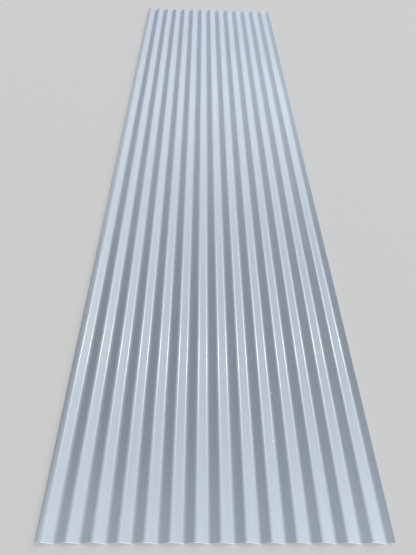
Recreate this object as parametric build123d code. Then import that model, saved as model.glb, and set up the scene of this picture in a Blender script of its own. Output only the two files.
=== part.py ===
from build123d import *
import os
from math import asin, atan2, ceil, cos, degrees, hypot, radians

# Corrugated steel sheet: one flat sheet rolled into waves that run along its length.
# Frame: +Y along the waves, +X across them, +Z up; the sheet lies with its troughs on Z = 0
# and the origin is at the middle of its underside. All sizes are in millimetres.

# Driving dimensions
sheet_length = 4267.2    # fourteen feet, along the waves
crest_count = 14         # crests across the width, with as many troughs
wave_pitch = 76.2        # from one crest to the next, three inches
wave_depth = 17.0        # overall, from under a trough to the top of a crest
sheet_thickness = 0.5    # steel with its paint
bend_radius = 17.0       # of the crests and troughs, at the middle of the thickness
left_bend_radius = 30.0  # of the first crest's outer half, which is rolled less sharply
left_lip = 19.0          # from the first crest out to the long edge that points down
right_lip = 27.0         # from the last trough out to the long edge that points up

# What follows from them
half_pitch = wave_pitch / 2
half_thickness = sheet_thickness / 2
outer_radius = bend_radius + half_thickness
last_trough = 2 * crest_count - 1                   # bends are numbered 0, 1, 2 ... from the first crest
left_edge = -left_lip
right_edge = last_trough * half_pitch + right_lip
overall_width = right_edge - left_edge
middle_of_width = (left_edge + right_edge) / 2


def straight_flank():
    """Slope in degrees and length of the flat between two bends, tangent to both of them."""
    centres_rise = 2 * outer_radius - wave_depth    # a trough's bend centre lies this much above a crest's
    between_centres = hypot(half_pitch, centres_rise)
    crossing = asin(2 * bend_radius / between_centres)
    slope = crossing - atan2(centres_rise, half_pitch)
    return degrees(slope), between_centres * cos(crossing)


flank_slope, flank_length = straight_flank()


def bend(number, lift):
    """One bend as an arc, on the line that lies lift above the middle of the thickness."""
    across = number * half_pitch
    if number % 2 == 0:                             # a crest, run over from its left flank to its right one
        centre = (across, wave_depth - outer_radius)
        left_turn = flank_slope if number > 0 else 0    # the first crest's left half is in left_side
        return CenterArc(centre, bend_radius + lift, 90 + left_turn, -left_turn - flank_slope)
    centre = (across, outer_radius)                 # a trough, run through the same way
    return CenterArc(centre, bend_radius - lift, 270 - flank_slope, 2 * flank_slope)


def left_side(lift):
    """The first crest's outer half, and the flat flank beyond it that runs out past the left edge."""
    centre = (0, wave_depth - half_thickness - left_bend_radius)
    half_crest = CenterArc(centre, left_bend_radius + lift, 90 + flank_slope, -flank_slope)
    foot = half_crest @ 0
    return [Line(foot - left_lip * (half_crest % 0), foot), half_crest]


def wavy_line(lift):
    """The section's line from beyond the left edge to beyond the right one, as bends and straight flanks."""
    last = last_trough + ceil(right_lip / half_pitch)
    bends = [bend(number, lift) for number in range(last + 1)]
    flanks = [Line(before @ 1, after @ 0) for before, after in zip(bends, bends[1:])]
    return Wire(left_side(lift) + bends + flanks)


def section():
    """The sheet's cross-section, from one trimmed long edge to the other."""
    top = wavy_line(half_thickness)
    underside = wavy_line(-half_thickness)
    ends = [Line(top @ 0, underside @ 0), Line(top @ 1, underside @ 1)]
    waves = make_face(top.edges() + underside.edges() + ends)
    trimmed_width = Pos(middle_of_width, wave_depth / 2) * Rectangle(overall_width, 2 * wave_depth)
    return Pos(-middle_of_width, 0) * (waves & trimmed_width)


def corrugated_sheet():
    """The whole sheet, its section carried along the length to two square cut ends."""
    return extrude(Plane.XZ * section(), sheet_length / 2, both=True)


os.makedirs("parts", exist_ok=True)
sheet = corrugated_sheet()
export_step(sheet, "parts/corrugated_sheet.step")

box = sheet.bounding_box()
arc_length = 2 * radians(flank_slope) * bend_radius
print(f"flanks slope {flank_slope:.2f} degrees and are straight for {flank_length:.2f} mm")
print(f"one pitch takes {2 * (arc_length + flank_length):.2f} mm of flat steel")
print(f"cover width {(crest_count - 1) * wave_pitch:.1f} mm, overall width {overall_width:.1f} mm")
print(f"box {box.min} to {box.max}, volume {sheet.volume:.0f} mm3")
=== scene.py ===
from math import asin, atan2, hypot, radians, sin, tan

import bpy
import numpy as np
from mathutils import Matrix, Vector


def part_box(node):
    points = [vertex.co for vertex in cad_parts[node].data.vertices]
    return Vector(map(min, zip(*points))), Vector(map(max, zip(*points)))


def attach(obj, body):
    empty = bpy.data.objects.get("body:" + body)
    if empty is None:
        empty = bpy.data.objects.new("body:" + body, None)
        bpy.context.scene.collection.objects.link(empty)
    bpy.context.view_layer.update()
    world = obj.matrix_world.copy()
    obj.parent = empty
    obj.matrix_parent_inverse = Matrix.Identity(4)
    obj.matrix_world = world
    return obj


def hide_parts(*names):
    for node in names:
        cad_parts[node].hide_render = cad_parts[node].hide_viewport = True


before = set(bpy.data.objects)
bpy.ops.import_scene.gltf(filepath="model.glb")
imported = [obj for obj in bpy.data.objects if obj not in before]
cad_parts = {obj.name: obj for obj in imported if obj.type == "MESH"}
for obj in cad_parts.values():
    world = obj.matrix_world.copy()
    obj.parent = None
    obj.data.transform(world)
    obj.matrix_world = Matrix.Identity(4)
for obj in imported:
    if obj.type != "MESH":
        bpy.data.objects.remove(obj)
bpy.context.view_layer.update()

scene = bpy.context.scene
scene.view_settings.view_transform = "Standard"


# The sheet: its section is worked out here again, finer than the frame's mesh, in the frame's own box.

sheet = {
    "node": "corrugated_sheet",
    "crests": 14,
    "pitch": 0.0762,
    "thickness": 0.0005,
    "bendRadius": 0.017,        # middle of the thickness
    "leftBendRadius": 0.030,    # the first crest's outer half at the near end, rolled less sharply
    "slackBendRadius": 0.080,   # what that half opens to further along
    "slackAlong": 1.2,          # and how far from the near end it is fully open
    "leftLip": 0.019,           # first crest to the left long edge
    "pointsPerBend": 13,
    "pointsPerFlank": 2,
    "flankInset": 0.0015,       # how far from a bend the flank's own points lie
    "edgeGap": 0.0001,          # no other point lies nearer than this to a long edge
    "rowSpacing": 0.045,
    "endRows": (0.0, 0.0014, 0.003, 0.006, 0.012, 0.025),   # first strip: the bare sheared rim and a painted highlight along the cut
    "heightPlay": 0.0003,       # how much the waves' height varies
    "heightSeed": 7,
    "sidewaysPlay": 0.0005,     # how much the waves wander across the sheet
    "sidewaysSeed": 3,
    "sidewaysFade": 0.05,       # the wander dies out this near to a long edge
    "playSines": 5,
    "playLengths": (0.45, 2.6),
    "playDrift": 9,             # most that a sine's phase drifts, in radians a metre across
    "cornerShift": 0.0035,      # how far out the waves lie at the near left corner, which has sprung open
    "cornerAlong": 0.9,         # how far along the sheet that reaches from the near end
    "cornerAcross": 0.33,       # and how far across, from the first crest
    "sharpAngle": 40,           # degrees between two faces, past which their edge is a crease
}


def sectionAngle(depth):
    # slope of the flat that touches both a crest's circle and a trough's
    rise = 2 * sheet["bendRadius"] - depth
    across = sheet["pitch"] / 2
    return asin(2 * sheet["bendRadius"] / hypot(across, rise)) - atan2(rise, across)


def sectionHeight(x, depth, slope, leftRadius):
    # height of the middle of the thickness and its tilt, x counted from the first crest:
    # an arc round every crest and trough, and past the arc's reach the straight line
    # tangent to it, which is the next arc's tangent too
    half = sheet["pitch"] / 2
    bend = np.round(x / half)
    up = np.where(bend % 2 == 0, 1.0, -1.0)
    off = x - bend * half
    radius = np.where(x < 0, leftRadius, sheet["bendRadius"])
    tilt = np.arcsin(np.clip(off / radius, -sin(slope), sin(slope)))
    pastReach = np.maximum(np.abs(off) - radius * sin(slope), 0)
    fall = radius * (1 - np.cos(tilt)) + pastReach * tan(slope)
    return depth / 2 + up * (depth / 2 - fall), up * tilt


def sectionPlaces(slope, right):
    # places across the sheet: even turns round each bend, and a few points on each flank
    half = sheet["pitch"] / 2
    nothing = 1e-6      # what rounding may add to a turn or a place of 0
    bends = np.arange(2 * sheet["crests"] + 1) * half
    turns = np.linspace(-slope, slope, sheet["pointsPerBend"])
    onBends = (bends[:, None] + sheet["bendRadius"] * np.sin(turns)).ravel()
    reach = sheet["bendRadius"] * sin(slope) + sheet["flankInset"]
    steps = np.linspace(reach, half - reach, sheet["pointsPerFlank"])
    onFlanks = (bends[:, None] + steps).ravel()
    outerHalf = sheet["leftBendRadius"] * np.sin(turns[turns < -nothing])
    places = np.sort(np.concatenate([outerHalf, outerHalf[:1] - sheet["flankInset"],
                                     onBends[onBends > -nothing], onFlanks]))
    left = -sheet["leftLip"]
    inside = (places > left + sheet["edgeGap"]) & (places < right - sheet["edgeGap"])
    return np.concatenate([[left], places[inside], [right]])


def rowPlaces(low, high):
    # places along the sheet: even rows, and closer ones at both cut ends
    near = low + np.array(sheet["endRows"])
    far = high - np.array(sheet["endRows"])[::-1]
    count = int((far[0] - near[-1]) / sheet["rowSpacing"])
    return np.concatenate([near, np.linspace(near[-1], far[0], count + 2)[1:-1], far])


def slowPlay(x, y, seed):
    # a slow wander between -1 and 1: the mean of a few sines along the sheet, whose phases drift across it
    rng = np.random.default_rng(seed)
    total = np.zeros(np.broadcast(x, y).shape)
    count = sheet["playSines"]
    lengths = rng.uniform(*sheet["playLengths"], count)
    phases = rng.uniform(0, 2 * np.pi, count)
    drifts = rng.uniform(-sheet["playDrift"], sheet["playDrift"], count)
    for length, phase, drift in zip(lengths, phases, drifts):
        total += np.sin(2 * np.pi * y / length + phase + drift * x)
    return total / count


def easeOut(share):
    # 1 up to a share of 0, 0 from a share of 1, and a smooth step between them
    share = np.clip(share, 0, 1)
    return 1 - share * share * (3 - 2 * share)


def meshFrom(name, points, faces):
    # an object at the origin, its points and faces given as arrays
    mesh = bpy.data.meshes.new(name)
    mesh.from_pydata(points.tolist(), [], faces.tolist())
    mesh.validate()
    made = bpy.data.objects.new(name, mesh)
    scene.collection.objects.link(made)
    return made


def sheetSurfaces(low, high):
    # the top and the underside, each half a thickness from the middle, square to its tilt
    thickness = sheet["thickness"]
    depth = high.z - low.z - thickness - sheet["heightPlay"]
    slope = sectionAngle(depth)
    right = high.x - low.x - sheet["leftLip"]
    x, y = np.meshgrid(sectionPlaces(slope, right), rowPlaces(low.y, high.y))
    fromNear = y - low.y
    fade = np.clip(np.minimum(x + sheet["leftLip"], right - x) / sheet["sidewaysFade"], 0, 1)
    sideways = sheet["sidewaysPlay"] * fade * slowPlay(x, y, sheet["sidewaysSeed"])
    sprung = easeOut(fromNear / sheet["cornerAlong"]) * easeOut(x / sheet["cornerAcross"])
    corner = sheet["cornerShift"] * sprung
    x = np.where(x < 0, x * (1 - corner / sheet["leftLip"]), x)     # the long edge stays where it is
    opened = 1 - easeOut(fromNear / sheet["slackAlong"])
    leftRadius = sheet["leftBendRadius"] + opened * (sheet["slackBendRadius"] - sheet["leftBendRadius"])
    height, tilt = sectionHeight(x, depth, slope, leftRadius)
    stretch = 1 + sheet["heightPlay"] / depth * slowPlay(x, y, sheet["heightSeed"])
    xMiddle = low.x + sheet["leftLip"] + x + sideways - corner
    zMiddle = low.z + (thickness + sheet["heightPlay"]) / 2 + depth / 2 + (height - depth / 2) * stretch
    surfaces = []
    for lift in (thickness / 2, -thickness / 2):
        surface = np.stack([xMiddle + lift * np.sin(tilt), y, zMiddle + lift * np.cos(tilt)], -1)
        surface[:, 0, 0] = low.x        # the two long edges are slit upright, on the frame's own sides
        surface[:, -1, 0] = high.x
        surfaces.append(surface)
    return surfaces


def makeSheet():
    # each row is a ring that runs out along the top and back along the underside; walls join the rings,
    # and both cut ends are closed by a strip of faces between top and underside
    top, under = sheetSurfaces(*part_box(sheet["node"]))
    rows, count = top.shape[:2]
    ring = np.concatenate([top, under[:, ::-1]], axis=1)
    size = 2 * count
    row, spot = np.meshgrid(np.arange(rows - 1), np.arange(size), indexing="ij")
    start = row * size
    nextStart = start + size
    nextSpot = (spot + 1) % size
    walls = np.stack([start + spot, start + nextSpot, nextStart + nextSpot, nextStart + spot], -1)
    along = np.arange(count - 1)
    nearEnd = np.stack([size - 1 - along, size - 2 - along, along + 1, along], -1)
    farEnd = nearEnd[:, ::-1] + (rows - 1) * size
    faces = np.concatenate([walls.reshape(-1, 4), nearEnd, farEnd])
    made = meshFrom("corrugatedSheet", ring.reshape(-1, 3), faces)
    mesh = made.data
    mesh.shade_smooth()
    mesh.set_sharp_from_angle(angle=radians(sheet["sharpAngle"]))
    # one finish per face: 0 painted top, 1 the underside's backing coat, 2 bare cut edge, also a painted
    # highlight on the top's end strips
    finish = np.zeros((rows - 1, size), int)
    finish[:, count:] = 1
    finish[:, [count - 1, size - 1]] = 2
    finish[[0, -1], :count] = 2
    finish = np.concatenate([finish.ravel(), np.full(2 * (count - 1), 2)])
    mesh.polygons.foreach_set("material_index", finish.astype(np.int32))
    return made


# Finishes

noiseSpan = (0.3, 0.7)              # most of a noise's values lie between these two

paint = {
    "colour": (0.445, 0.508, 0.566),
    "roughness": 0.40,
    "roughnessPlay": 0.01,
    "glaze": 0.1,                   # share of the smoother gloss on top
    "glazeRoughness": 0.16,
    "streaks": (150, 0.9, 150),     # how fine the noise is along each axis, in cells a metre
    "streakTone": 0.035,            # how much lighter and darker the streaks are
    "patches": (2.2, 1.1, 2.2),
    "patchTone": 0.02,
    "grain": (900, 900, 900),
    "bumpStrength": 0.04,
    "bumpDistance": 0.0004,
    "speckColour": (0.86, 0.85, 0.82),
    # pale specks of dirt: place across, place along, radius, and how much they cover the paint
    "specks": (
        (0.2121, -1.6367, 0.0042, 0.9),
        (0.1344, -1.6532, 0.0060, 0.15),
        (0.2009, -1.8185, 0.0045, 0.5),
    ),
}

backing = {
    "colour": (0.40, 0.42, 0.43),
    "roughness": 0.5,
    "streaks": (200, 0.8, 200),
    "streakTone": 0.06,
}

# the bare cut edge, whose light colour also covers a strip of the top at each end as a painted highlight
# along the cut
cut = {
    "colour": (0.76, 0.78, 0.80),
    "roughness": 0.4,
    "metallic": 0.2,
    "grain": (900, 900, 900),
    "tones": (0.85, 1.1),           # darkest and lightest of the sheared metal
}


def newMaterial(name):
    material = bpy.data.materials.new(name)
    material.use_nodes = True
    nodes = material.node_tree.nodes
    return material, nodes, material.node_tree.links, nodes["Principled BSDF"]


def noiseAt(nodes, links, place, cells, detail):
    # noise on the object's own coordinates, with so many cells a metre along each axis
    mapping = nodes.new("ShaderNodeMapping")
    mapping.inputs["Scale"].default_value = cells
    noise = nodes.new("ShaderNodeTexNoise")
    noise.inputs["Scale"].default_value = 1.0
    noise.inputs["Detail"].default_value = detail
    links.new(place, mapping.inputs["Vector"])
    links.new(mapping.outputs["Vector"], noise.inputs["Vector"])
    return noise.outputs["Fac"]


def toRange(nodes, links, value, fromLow, fromHigh, toLow, toHigh):
    # a value moved in a straight line from one range to another, and held at its ends
    change = nodes.new("ShaderNodeMapRange")
    change.inputs["From Min"].default_value = fromLow
    change.inputs["From Max"].default_value = fromHigh
    change.inputs["To Min"].default_value = toLow
    change.inputs["To Max"].default_value = toHigh
    links.new(value, change.inputs["Value"])
    return change.outputs["Result"]


def spread(nodes, links, noise, low, high):
    # a noise stretched to run from low to high
    return toRange(nodes, links, noise, *noiseSpan, low, high)


def combine(nodes, links, operation, first, second):
    # a sum or product of two values, each a plain number or another node's output
    node = nodes.new("ShaderNodeMath")
    node.operation = operation
    for socket, value in zip(node.inputs, (first, second)):
        if isinstance(value, (int, float)):
            socket.default_value = value
        else:
            links.new(value, socket)
    return node.outputs["Value"]


def tinted(nodes, links, colour, factor):
    # a colour times a number that changes over the surface
    scaled = nodes.new("ShaderNodeVectorMath")
    scaled.operation = "SCALE"
    scaled.inputs[0].default_value = colour
    links.new(factor, scaled.inputs["Scale"])
    return scaled.outputs["Vector"]


def speckAt(nodes, links, place, across, along, radius, cover):
    # a round spot that fades over its outer half, whatever its height on the waves
    flat = nodes.new("ShaderNodeVectorMath")
    flat.operation = "MULTIPLY"
    flat.inputs[1].default_value = (1, 1, 0)
    links.new(place, flat.inputs[0])
    away = nodes.new("ShaderNodeVectorMath")
    away.operation = "DISTANCE"
    away.inputs[1].default_value = (across, along, 0)
    links.new(flat.outputs["Vector"], away.inputs[0])
    return toRange(nodes, links, away.outputs["Value"], radius / 2, radius, cover, 0)


def paintedTop():
    # satin paint with faint streaks along the sheet, slow patches, a fine grain and a few specks
    material, nodes, links, shader = newMaterial("paintedTop")
    place = nodes.new("ShaderNodeTexCoord").outputs["Object"]
    streaks = noiseAt(nodes, links, place, paint["streaks"], 3)
    patches = noiseAt(nodes, links, place, paint["patches"], 2)
    grain = noiseAt(nodes, links, place, paint["grain"], 2)
    tone = combine(nodes, links, "ADD",
                   spread(nodes, links, streaks, 1 - paint["streakTone"], 1 + paint["streakTone"]),
                   spread(nodes, links, patches, -paint["patchTone"], paint["patchTone"]))
    specks = 0.0
    for speck in paint["specks"]:
        specks = combine(nodes, links, "ADD", specks, speckAt(nodes, links, place, *speck))
    blend = nodes.new("ShaderNodeMix")
    blend.data_type = "VECTOR"
    links.new(specks, blend.inputs["Factor"])
    links.new(tinted(nodes, links, paint["colour"], tone), blend.inputs["A"])
    blend.inputs["B"].default_value = paint["speckColour"]
    links.new(blend.outputs["Result"], shader.inputs["Base Color"])
    smoothest = paint["roughness"] - paint["roughnessPlay"]
    roughest = paint["roughness"] + paint["roughnessPlay"]
    links.new(spread(nodes, links, streaks, smoothest, roughest), shader.inputs["Roughness"])
    shader.inputs["Coat Weight"].default_value = paint["glaze"]
    shader.inputs["Coat Roughness"].default_value = paint["glazeRoughness"]
    bump = nodes.new("ShaderNodeBump")
    bump.inputs["Strength"].default_value = paint["bumpStrength"]
    bump.inputs["Distance"].default_value = paint["bumpDistance"]
    links.new(combine(nodes, links, "ADD", grain, streaks), bump.inputs["Height"])
    links.new(bump.outputs["Normal"], shader.inputs["Normal"])
    return material


def backingCoat():
    # the plain grey coat underneath, streaked a little as it was rolled on
    material, nodes, links, shader = newMaterial("backingCoat")
    place = nodes.new("ShaderNodeTexCoord").outputs["Object"]
    streaks = noiseAt(nodes, links, place, backing["streaks"], 3)
    tone = spread(nodes, links, streaks, 1 - backing["streakTone"], 1 + backing["streakTone"])
    links.new(tinted(nodes, links, backing["colour"], tone), shader.inputs["Base Color"])
    shader.inputs["Roughness"].default_value = backing["roughness"]
    return material


def cutEdgeAndPaintedHighlight():
    # the bare sheared rim, grainy and only partly bright; on the top's end strips this light colour is a
    # painted highlight along the cut
    material, nodes, links, shader = newMaterial("cutEdgeAndPaintedHighlight")
    place = nodes.new("ShaderNodeTexCoord").outputs["Object"]
    grain = noiseAt(nodes, links, place, cut["grain"], 2)
    links.new(tinted(nodes, links, cut["colour"], spread(nodes, links, grain, *cut["tones"])),
              shader.inputs["Base Color"])
    shader.inputs["Metallic"].default_value = cut["metallic"]
    shader.inputs["Roughness"].default_value = cut["roughness"]
    return material


def dress():
    made = makeSheet()
    for material in (paintedTop(), backingCoat(), cutEdgeAndPaintedHighlight()):
        made.data.materials.append(material)
    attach(made, "root")
    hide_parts(sheet["node"])
    print("sheet:", len(made.data.vertices), "vertices,", 2 * len(made.data.polygons), "triangles")
    return made


# Studio

studio = {
    "floorSize": 800.0,             # so large that its far side is the horizon
    "floorColour": (0.84, 0.84, 0.835),
    "floorRoughness": 0.9,
    "floorGlow": 0.5,               # share of the floor's look that no lamp changes
    "skyColour": (0.62, 0.82, 1.0),
    "skyStrength": 0.03,
    "backdrop": (0.84, 0.88, 0.92),
    "skyInGloss": (0.73, 0.79, 1.0),
}

suns = {
    # strength in watts per square metre, angle in degrees
    "keyLight": {"strength": 1.8, "angle": 80.0, "towards": (0.60, 0.40, 0.69), "colour": (1, 1, 1)},
    "glintLight": {"strength": 2.5, "angle": 2.0, "towards": (0.377, 0.53, 0.76), "colour": (0.94, 0.98, 1)},
}

softboxes = {
    # strength in watts, size in metres
    "nearStrip": {"strength": 2.4, "size": (2.2, 0.3), "place": (-0.1, -2.4, 0.35), "aim": (0.0, -2.1, 0)},
    "nearSoftbox": {"strength": 11.1, "size": (0.6, 0.4), "place": (1.3, -2.6, 0.8), "aim": (0.2, -2.1, 0)},
    "rightSoftbox": {"strength": 15.0, "size": (1.2, 1.2), "place": (1.2, 0.3, 1.3), "aim": (0.0, 0.4, 0)},
    "topSoftbox": {"strength": 6.4, "size": (1.4, 1.4), "place": (0.0, 0.8, 1.6), "aim": (0.0, 0.8, 0)},
    "farSoftbox": {"strength": 12.5, "size": (1.6, 0.8), "place": (0.6, 2.8, 1.2), "aim": (0.0, 1.6, 0)},
    "leftSoftbox": {"strength": 1, "size": (0.9, 0.4), "place": (-0.9, -0.5, 0.6), "aim": (-0.45, -0.4, 0)},
}


def makeFloor():
    # one flat square under the sheet, at height 0
    half = studio["floorSize"] / 2
    corners = np.array([(-half, -half, 0), (half, -half, 0), (half, half, 0), (-half, half, 0)], float)
    floor = meshFrom("studioFloor", corners, np.array([[0, 1, 2, 3]]))
    material, nodes, links, shader = newMaterial("paleFloor")
    shader.inputs["Base Color"].default_value = (*studio["floorColour"], 1)
    shader.inputs["Roughness"].default_value = studio["floorRoughness"]
    # the camera sees part of the floor as a plain glow of the same colour
    glow = nodes.new("ShaderNodeEmission")
    glow.inputs["Color"].default_value = (*studio["floorColour"], 1)
    share = combine(nodes, links, "MULTIPLY", nodes.new("ShaderNodeLightPath").outputs["Is Camera Ray"],
                    studio["floorGlow"])
    mix = nodes.new("ShaderNodeMixShader")
    links.new(share, mix.inputs["Fac"])
    links.new(shader.outputs["BSDF"], mix.inputs[1])
    links.new(glow.outputs["Emission"], mix.inputs[2])
    links.new(mix.outputs["Shader"], nodes["Material Output"].inputs["Surface"])
    floor.data.materials.append(material)
    print("floor:", studio["floorSize"], "m square")


def makeWorld():
    # the sky that lights the sheet, the clear sky in its gloss, and the pale backdrop that the camera sees
    world = bpy.data.worlds.new("studioWorld")
    scene.world = world
    world.use_nodes = True
    nodes, links = world.node_tree.nodes, world.node_tree.links
    light = nodes["Background"]
    light.inputs["Color"].default_value = (*studio["skyColour"], 1)
    light.inputs["Strength"].default_value = studio["skyStrength"]
    path = nodes.new("ShaderNodeLightPath")
    shown = light.outputs["Background"]
    for ray, colour in (("Is Glossy Ray", "skyInGloss"), ("Is Camera Ray", "backdrop")):
        seen = nodes.new("ShaderNodeBackground")
        seen.inputs["Color"].default_value = (*studio[colour], 1)
        mix = nodes.new("ShaderNodeMixShader")
        links.new(path.outputs[ray], mix.inputs["Fac"])
        links.new(shown, mix.inputs[1])
        links.new(seen.outputs["Background"], mix.inputs[2])
        shown = mix.outputs["Shader"]
    links.new(shown, nodes["World Output"].inputs["Surface"])
    print("world: sky, gloss and backdrop")


def makeLamp(name, kind, strength, towards):
    # a lamp that the camera can't see, turned so that its light comes from the way towards
    data = bpy.data.lights.new(name, kind)
    data.energy = strength
    made = bpy.data.objects.new(name, data)
    made.visible_camera = False
    made.visible_diffuse = name != "glintLight"     # the small sun makes only the lines of gloss,
    made.visible_glossy = name == "glintLight"      # and all the others only the plain light
    made.rotation_mode = "QUATERNION"
    made.rotation_quaternion = towards.to_track_quat("Z", "Y")
    scene.collection.objects.link(made)
    return made


def makeLamps(sheetObject):
    for name, sun in suns.items():
        made = makeLamp(name, "SUN", sun["strength"], Vector(sun["towards"]))
        made.data.angle = radians(sun["angle"])
        made.data.color = sun["colour"]
    # the softboxes light only the sheet, so that they leave no pools of light on the floor
    softboxTargets = bpy.data.collections.new("softboxTargets")
    softboxTargets.objects.link(sheetObject)
    for name, softbox in softboxes.items():
        place = Vector(softbox["place"])
        made = makeLamp(name, "AREA", softbox["strength"], place - Vector(softbox["aim"]))
        made.data.shape = "RECTANGLE"
        made.data.size, made.data.size_y = softbox["size"]
        made.location = place
        made.light_linking.receiver_collection = softboxTargets
    print("lamps:", len(suns) + len(softboxes))


# Camera, where the photograph was taken from

camera = {
    "place": (-0.0657, -2.4649, 1.5749),
    "down": 48.45,                  # degrees below level
    "heading": -1.88,               # degrees to the left, so it faces a little to the right
    "roll": 2.16,                   # degrees about its own axis
    "focalPixels": 468.3,
    "imageHeight": 555,             # the longer side, which the sensor's width spans
    "clipEnd": 2000,
}


def makeCamera():
    # rolled about its own axis, tipped up from looking straight down, and turned to its heading
    data = bpy.data.cameras.new("photoCamera")
    data.lens = camera["focalPixels"] / camera["imageHeight"] * data.sensor_width
    data.clip_end = camera["clipEnd"]
    made = bpy.data.objects.new("photoCamera", data)
    turn = (Matrix.Rotation(radians(camera["heading"]), 4, "Z")
            @ Matrix.Rotation(radians(90 - camera["down"]), 4, "X")
            @ Matrix.Rotation(radians(camera["roll"]), 4, "Z"))
    made.matrix_world = Matrix.Translation(camera["place"]) @ turn
    scene.collection.objects.link(made)
    scene.camera = made
    print("camera: lens", round(data.lens, 2), "mm")


makeCamera()
dressedSheet = dress()
makeFloor()
makeWorld()
makeLamps(dressedSheet)

bpy.context.view_layer.update()
